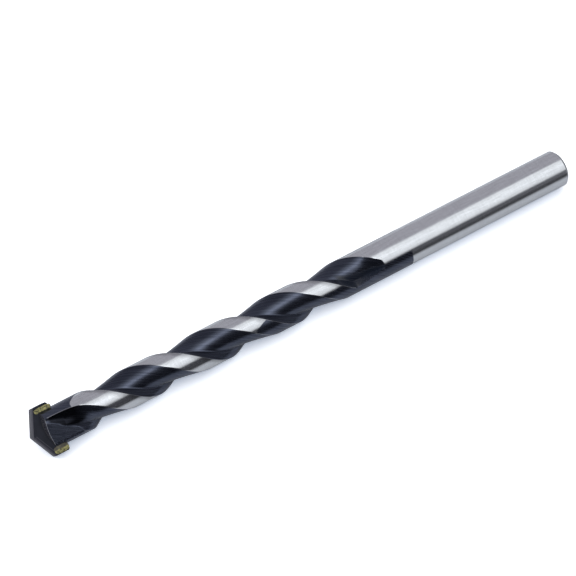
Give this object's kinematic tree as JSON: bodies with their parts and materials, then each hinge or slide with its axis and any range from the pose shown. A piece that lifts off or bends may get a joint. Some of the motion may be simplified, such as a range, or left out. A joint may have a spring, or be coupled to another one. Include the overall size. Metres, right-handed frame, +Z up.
{
  "type": "masonry drill bit",
  "caption": "Round steel masonry drill bit with spiral flutes, a plain round shank, and a flat carbide cutting plate brazed into a slot across its blunt nose.",
  "frame": {"origin": "on the ground under the middle of the bit's length, where the bit lies at rest", "axes": "+X along the axis from the point towards the shank end, +Z up from the ground that the bit lies on"},
  "size_m": [0.12, 0.0098, 0.0075],
  "materials": {
    "steel": "bright ground lands and shank, black unground flutes and head",
    "carbide": "dark matte sintered carbide",
    "braze": "dull lumpy brass-coloured braze"
  },
  "bodies": {
    "root": {"drill_body": "steel", "carbide_tip": "carbide", "braze": "braze"}
  },
  "joints": []
}
